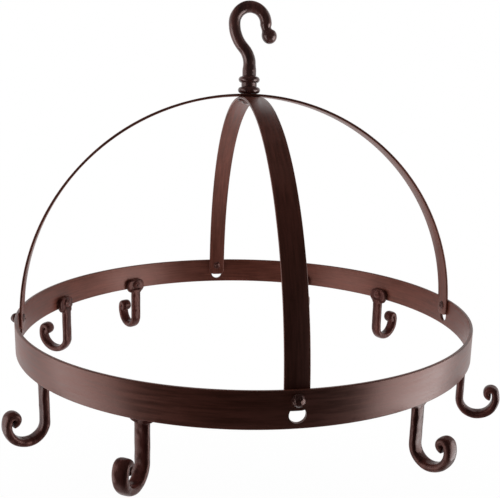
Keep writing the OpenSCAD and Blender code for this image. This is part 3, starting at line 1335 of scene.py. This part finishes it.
@dataclass
class SwivelWasher:
    """The washer under the crossing. Sizes in millimetres."""

    outer_r: float = 9.0
    bore_r: float = 4.05
    top_z: float = -67.95
    thickness: float = 1.6
    edge_r: float = 0.35
    points: int = 64

    def build(self) -> Piece:
        """Turns the washer's rounded section about the swivel's axis.

        Returns:
            The washer.
        """
        mid_r = (self.outer_r + self.bore_r) / 2
        mid_z = self.top_z - self.thickness / 2
        outline = flat_section(self.thickness / 2, (self.outer_r - self.bore_r) / 2, self.edge_r)
        rings = []
        for i in range(self.points):
            turn = 2 * math.pi * i / self.points
            rings.append([Vector(((mid_r + b) * math.cos(turn), (mid_r + b) * math.sin(turn),
                                  mid_z + a)) * MM for a, b in outline])
        return finish_mesh("turned_swivel_washer", loft(rings, closed=True), TURNED_CREASE)

    def dress(self) -> Piece:
        """Builds the washer and paints it."""
        return dress(self.build(), Finish.RIVET, Slot.RIVET, Body.HANGER, ["swivel_washer"])


@dataclass(frozen=True)
class PhotoCamera:
    """Camera fitted to the photograph, measured from the middle of the hoop's band.

    The tilt, the roll and the turn of the upper arch from the picture's plane are in degrees.
    """

    focal_px: float = 665.646
    picture_px: float = 500.0
    sensor_mm: float = 36.0
    near_m: float = 0.01
    tilt: float = 11.011
    roll: float = -1.253
    arch_turn: float = 10.52
    offset_mm: Point = (-5.014, 60.419, 584.150)

    def build(self) -> Piece:
        """Places the camera.

        Returns:
            The camera, set as the scene's own.
        """
        tilt, roll = math.radians(self.tilt), math.radians(self.roll)
        right = Vector((1, 0, 0))
        ahead = Vector((0, math.cos(tilt), -math.sin(tilt)))
        down = Vector((0, -math.sin(tilt), -math.cos(tilt)))
        rolled_right = right * math.cos(roll) + down * math.sin(roll)
        rolled_down = down * math.cos(roll) - right * math.sin(roll)
        x, y, z = self.offset_mm
        turn = Matrix.Rotation(math.radians(-self.arch_turn), 3, "Z")
        place = turn @ (-(rolled_right * x + rolled_down * y + ahead * z) * MM)
        place += Vector((0, 0, BAND_Z * MM))
        axes = Matrix((turn @ rolled_right, turn @ -rolled_down, turn @ -ahead)).transposed()
        data = bpy.data.cameras.new("photo_camera")
        data.sensor_width = self.sensor_mm
        data.lens = self.focal_px / self.picture_px * self.sensor_mm
        data.clip_start = self.near_m
        made = bpy.data.objects.new("photo_camera", data)
        made.matrix_world = Matrix.Translation(place) @ axes.to_4x4()
        bpy.context.scene.collection.objects.link(made)
        bpy.context.scene.camera = made
        return made


@dataclass(frozen=True)
class Lamp:
    """One soft lamp. Its place, the point that it faces and its size are in metres."""

    name: str
    place: Point
    aim: Point
    size: Pair
    watts: float
    gloss_only: bool = False

    def hang(self) -> None:
        """Hangs the lamp, which shows in gloss alone, or else lights without showing there."""
        data = bpy.data.lights.new(self.name, "AREA")
        data.shape = "RECTANGLE"
        data.size, data.size_y = self.size
        data.energy = self.watts
        made = bpy.data.objects.new(self.name, data)
        made.location = self.place
        facing = Vector(self.aim) - Vector(self.place)
        made.rotation_euler = facing.to_track_quat("-Z", "Y").to_euler()
        made.visible_camera = False
        made.visible_glossy = self.gloss_only
        made.visible_diffuse = not self.gloss_only
        bpy.context.scene.collection.objects.link(made)


@dataclass
class Studio:
    """White tent open at the front, and a pale floor.

    Soft lamps hang at both sides, above and below, and two panels show in gloss alone. Lengths are
    in metres and angles in degrees.
    """

    floor_z: float = -0.95
    floor_r: float = 9.0
    floor_steps: int = 96
    floor_shadow: float = 0.03
    shadow_r: float = 1.0
    cloth_colour: Colour = (0.88, 0.88, 0.88)
    tent_r: float = 1.7
    tent_top: float = 1.3
    tent_reach: float = 128.0
    tent_steps: int = 64
    tent_light: float = 0.22
    room_light: float = 0.07
    gloss: float = 0.8
    fade_from: float = -1.25
    fade_to: float = 0.35
    fade_turn: float = 5.0
    lamps: tuple[Lamp, ...] = (
        Lamp("overhead_lamp", (0.0, 0.0, 0.38), (0.0, 0.0, 0.0), size=(0.5, 0.4), watts=0.7),
        Lamp("under_lamp", (0.0, 0.0, -0.8), (0.0, 0.0, 0.0), size=(0.7, 0.7), watts=3.2),
        Lamp("left_lamp", (-0.72, 0.05, -0.2), (0.0, 0.05, -0.2), size=(0.6, 0.9), watts=4.2),
        Lamp("right_lamp", (0.72, 0.05, -0.2), (0.0, 0.05, -0.2), size=(0.6, 0.9), watts=4.0),
        Lamp("left_panel", (-0.74, -0.16, -0.42), (0.0, -0.16, -0.42), size=(0.5, 0.8),
             watts=3.2, gloss_only=True),
        Lamp("right_panel", (0.74, -0.39, -0.42), (0.0, -0.39, -0.42), size=(0.66, 0.8),
             watts=7.4, gloss_only=True),
    )

    def _cloth(self, name: str, light: float, shadow: float) -> bpy.types.Material:
        """White cloth, white to the camera, whose gloss and light fade towards the open front.

        A cloth without light of its own shows some of the shadow on it: the whole of that share
        up to shadow_r from the middle, and none of it from tent_r on.

        Args:
            name: Name of the material.
            light: Light that it gives off on its own.
            shadow: Share of the shadow on it that shows.

        Returns:
            The material.
        """
        cloth = bpy.data.materials.new(name)
        nodes = ShaderNodes(cloth)
        cloth.cycles.emission_sampling = "NONE"
        rays = nodes.add("ShaderNodeLightPath").outputs
        where = nodes.add("ShaderNodeTexCoord").outputs["Object"]
        turned = nodes.add("ShaderNodeMapping", {
            "Vector": where, "Rotation": (0.0, 0.0, math.radians(self.fade_turn))})
        split = nodes.add("ShaderNodeSeparateXYZ", {"Vector": turned.outputs["Vector"]})
        fade = nodes.steepen(split.outputs["Y"], self.fade_from, self.fade_to)
        shine = nodes.reckon("MULTIPLY", rays["Is Glossy Ray"], self.gloss - light)
        level = nodes.reckon("MULTIPLY", nodes.reckon("ADD", shine, light), fade)
        level = nodes.reckon("MAXIMUM", level, rays["Is Camera Ray"])
        glow = nodes.add("ShaderNodeEmission", {"Strength": level})
        reach = nodes.add("ShaderNodeVectorMath", {0: where}, operation="LENGTH")
        bright = nodes.steepen(reach.outputs["Value"], self.shadow_r, self.tent_r,
                               (1.0 - shadow, 1.0))
        shown = nodes.reckon("MAXIMUM", rays["Is Camera Ray"], rays["Is Glossy Ray"])
        share = 1.0 if light > 0.0 else nodes.reckon("MULTIPLY", shown, bright)
        matt = nodes.add("ShaderNodeBsdfDiffuse", {"Color": (*self.cloth_colour, 1.0)})
        nodes.close(share, matt, glow)
        return cloth

    def floor(self) -> None:
        """Lays a round floor far below the rack."""
        disc = bmesh.new()
        bmesh.ops.create_circle(disc, cap_ends=True, segments=self.floor_steps,
                                radius=self.floor_r)
        disc.transform(Matrix.Translation((0, 0, self.floor_z)))
        made = finish_mesh("studio_floor", disc)
        made.data.materials.append(self._cloth("studio_floor", 0.0, self.floor_shadow))

    def tent(self) -> None:
        """Stands a white cloth round the back and both sides of the rack."""
        wall = bmesh.new()
        last = None
        for angle in arc(90.0 - self.tent_reach, 90.0 + self.tent_reach, self.tent_steps):
            place = on_arc((0.0, 0.0), self.tent_r, angle)
            pair = [wall.verts.new((*place, z)) for z in (self.floor_z, self.tent_top)]
            if last:
                wall.faces.new((last[0], pair[0], pair[1], last[1]))
            last = pair
        made = finish_mesh("studio_tent", wall)
        made.data.materials.append(self._cloth("studio_tent", self.tent_light, 0.0))

    def surroundings(self) -> None:
        """Makes the world white to the camera and dim as light."""
        world = bpy.data.worlds.new("studio")
        bpy.context.scene.world = world
        nodes = ShaderNodes(world)
        rays = nodes.add("ShaderNodeLightPath").outputs
        seen = nodes.reckon("MAXIMUM", rays["Is Camera Ray"], rays["Is Transmission Ray"])
        light, white = (nodes.add("ShaderNodeBackground", {
            "Color": (1.0, 1.0, 1.0, 1.0), "Strength": level}) for level in (self.room_light, 1.0))
        nodes.close(seen, light, white, "ShaderNodeOutputWorld")

    def build(self) -> None:
        """Sets up the whole studio."""
        self.floor()
        self.tent()
        self.surroundings()
        for lamp in self.lamps:
            lamp.hang()
        bpy.context.scene.view_settings.view_transform = "Standard"


@dataclass
class CrownRack:
    """The whole rack."""

    hook_angles: list[float] = field(
        default_factory=lambda: [90.0 * q + 45.0 + s * 15.0 for q in range(4) for s in (-1, 1)])

    def build(self) -> list[Piece]:
        """Builds and dresses every piece.

        Returns:
            The pieces in order.
        """
        pieces = [
            HoopBand().dress(),
            Arch("upper_arch", Finish.UPPER_ARCH, spring=4.3, seed=1).dress(),
            Arch("lower_arch", Finish.LOWER_ARCH, spring=2.1, seed=2, turned=True,
                 far_foot_end=-3.8).dress(),
            Rivets("arch_foot_rivets",
                   [f"foot_rivet_{side}" for side in ("right", "back", "left", "front")],
                   [0.0, 90.0, 180.0, 270.0], z=6.25, inside_x=184.95, outside_x=190.1,
                   inner_head_r=3.6, inner_head_h=1.3, outer_head_r=4.3,
                   outer_head_h=5.2).dress(),
            Rivets("herb_hook_rivets", [f"hook_rivet_{n}" for n in range(1, 9)],
                   self.hook_angles, z=-7.5, inside_x=182.533, outside_x=189.4,
                   inner_head_r=4.2, inner_head_h=1.7, finish=Finish.HOOK_RIVET,
                   seed=11).dress(),
        ]
        pieces += [HerbHook(n, angle).dress() for n, angle in enumerate(self.hook_angles, 1)]
        pieces += [HangingHook().dress(), SwivelWasher().dress()]
        return pieces


def main() -> None:
    """Builds the camera, the rack and the studio."""
    logging.basicConfig(level=logging.INFO, format="%(name)s: %(message)s")
    PhotoCamera().build()
    pieces = CrownRack().build()
    Studio().build()
    LOG.info("%d pieces stand for %d nodes", len(pieces), len(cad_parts))


if __name__ == "__main__":
    main()
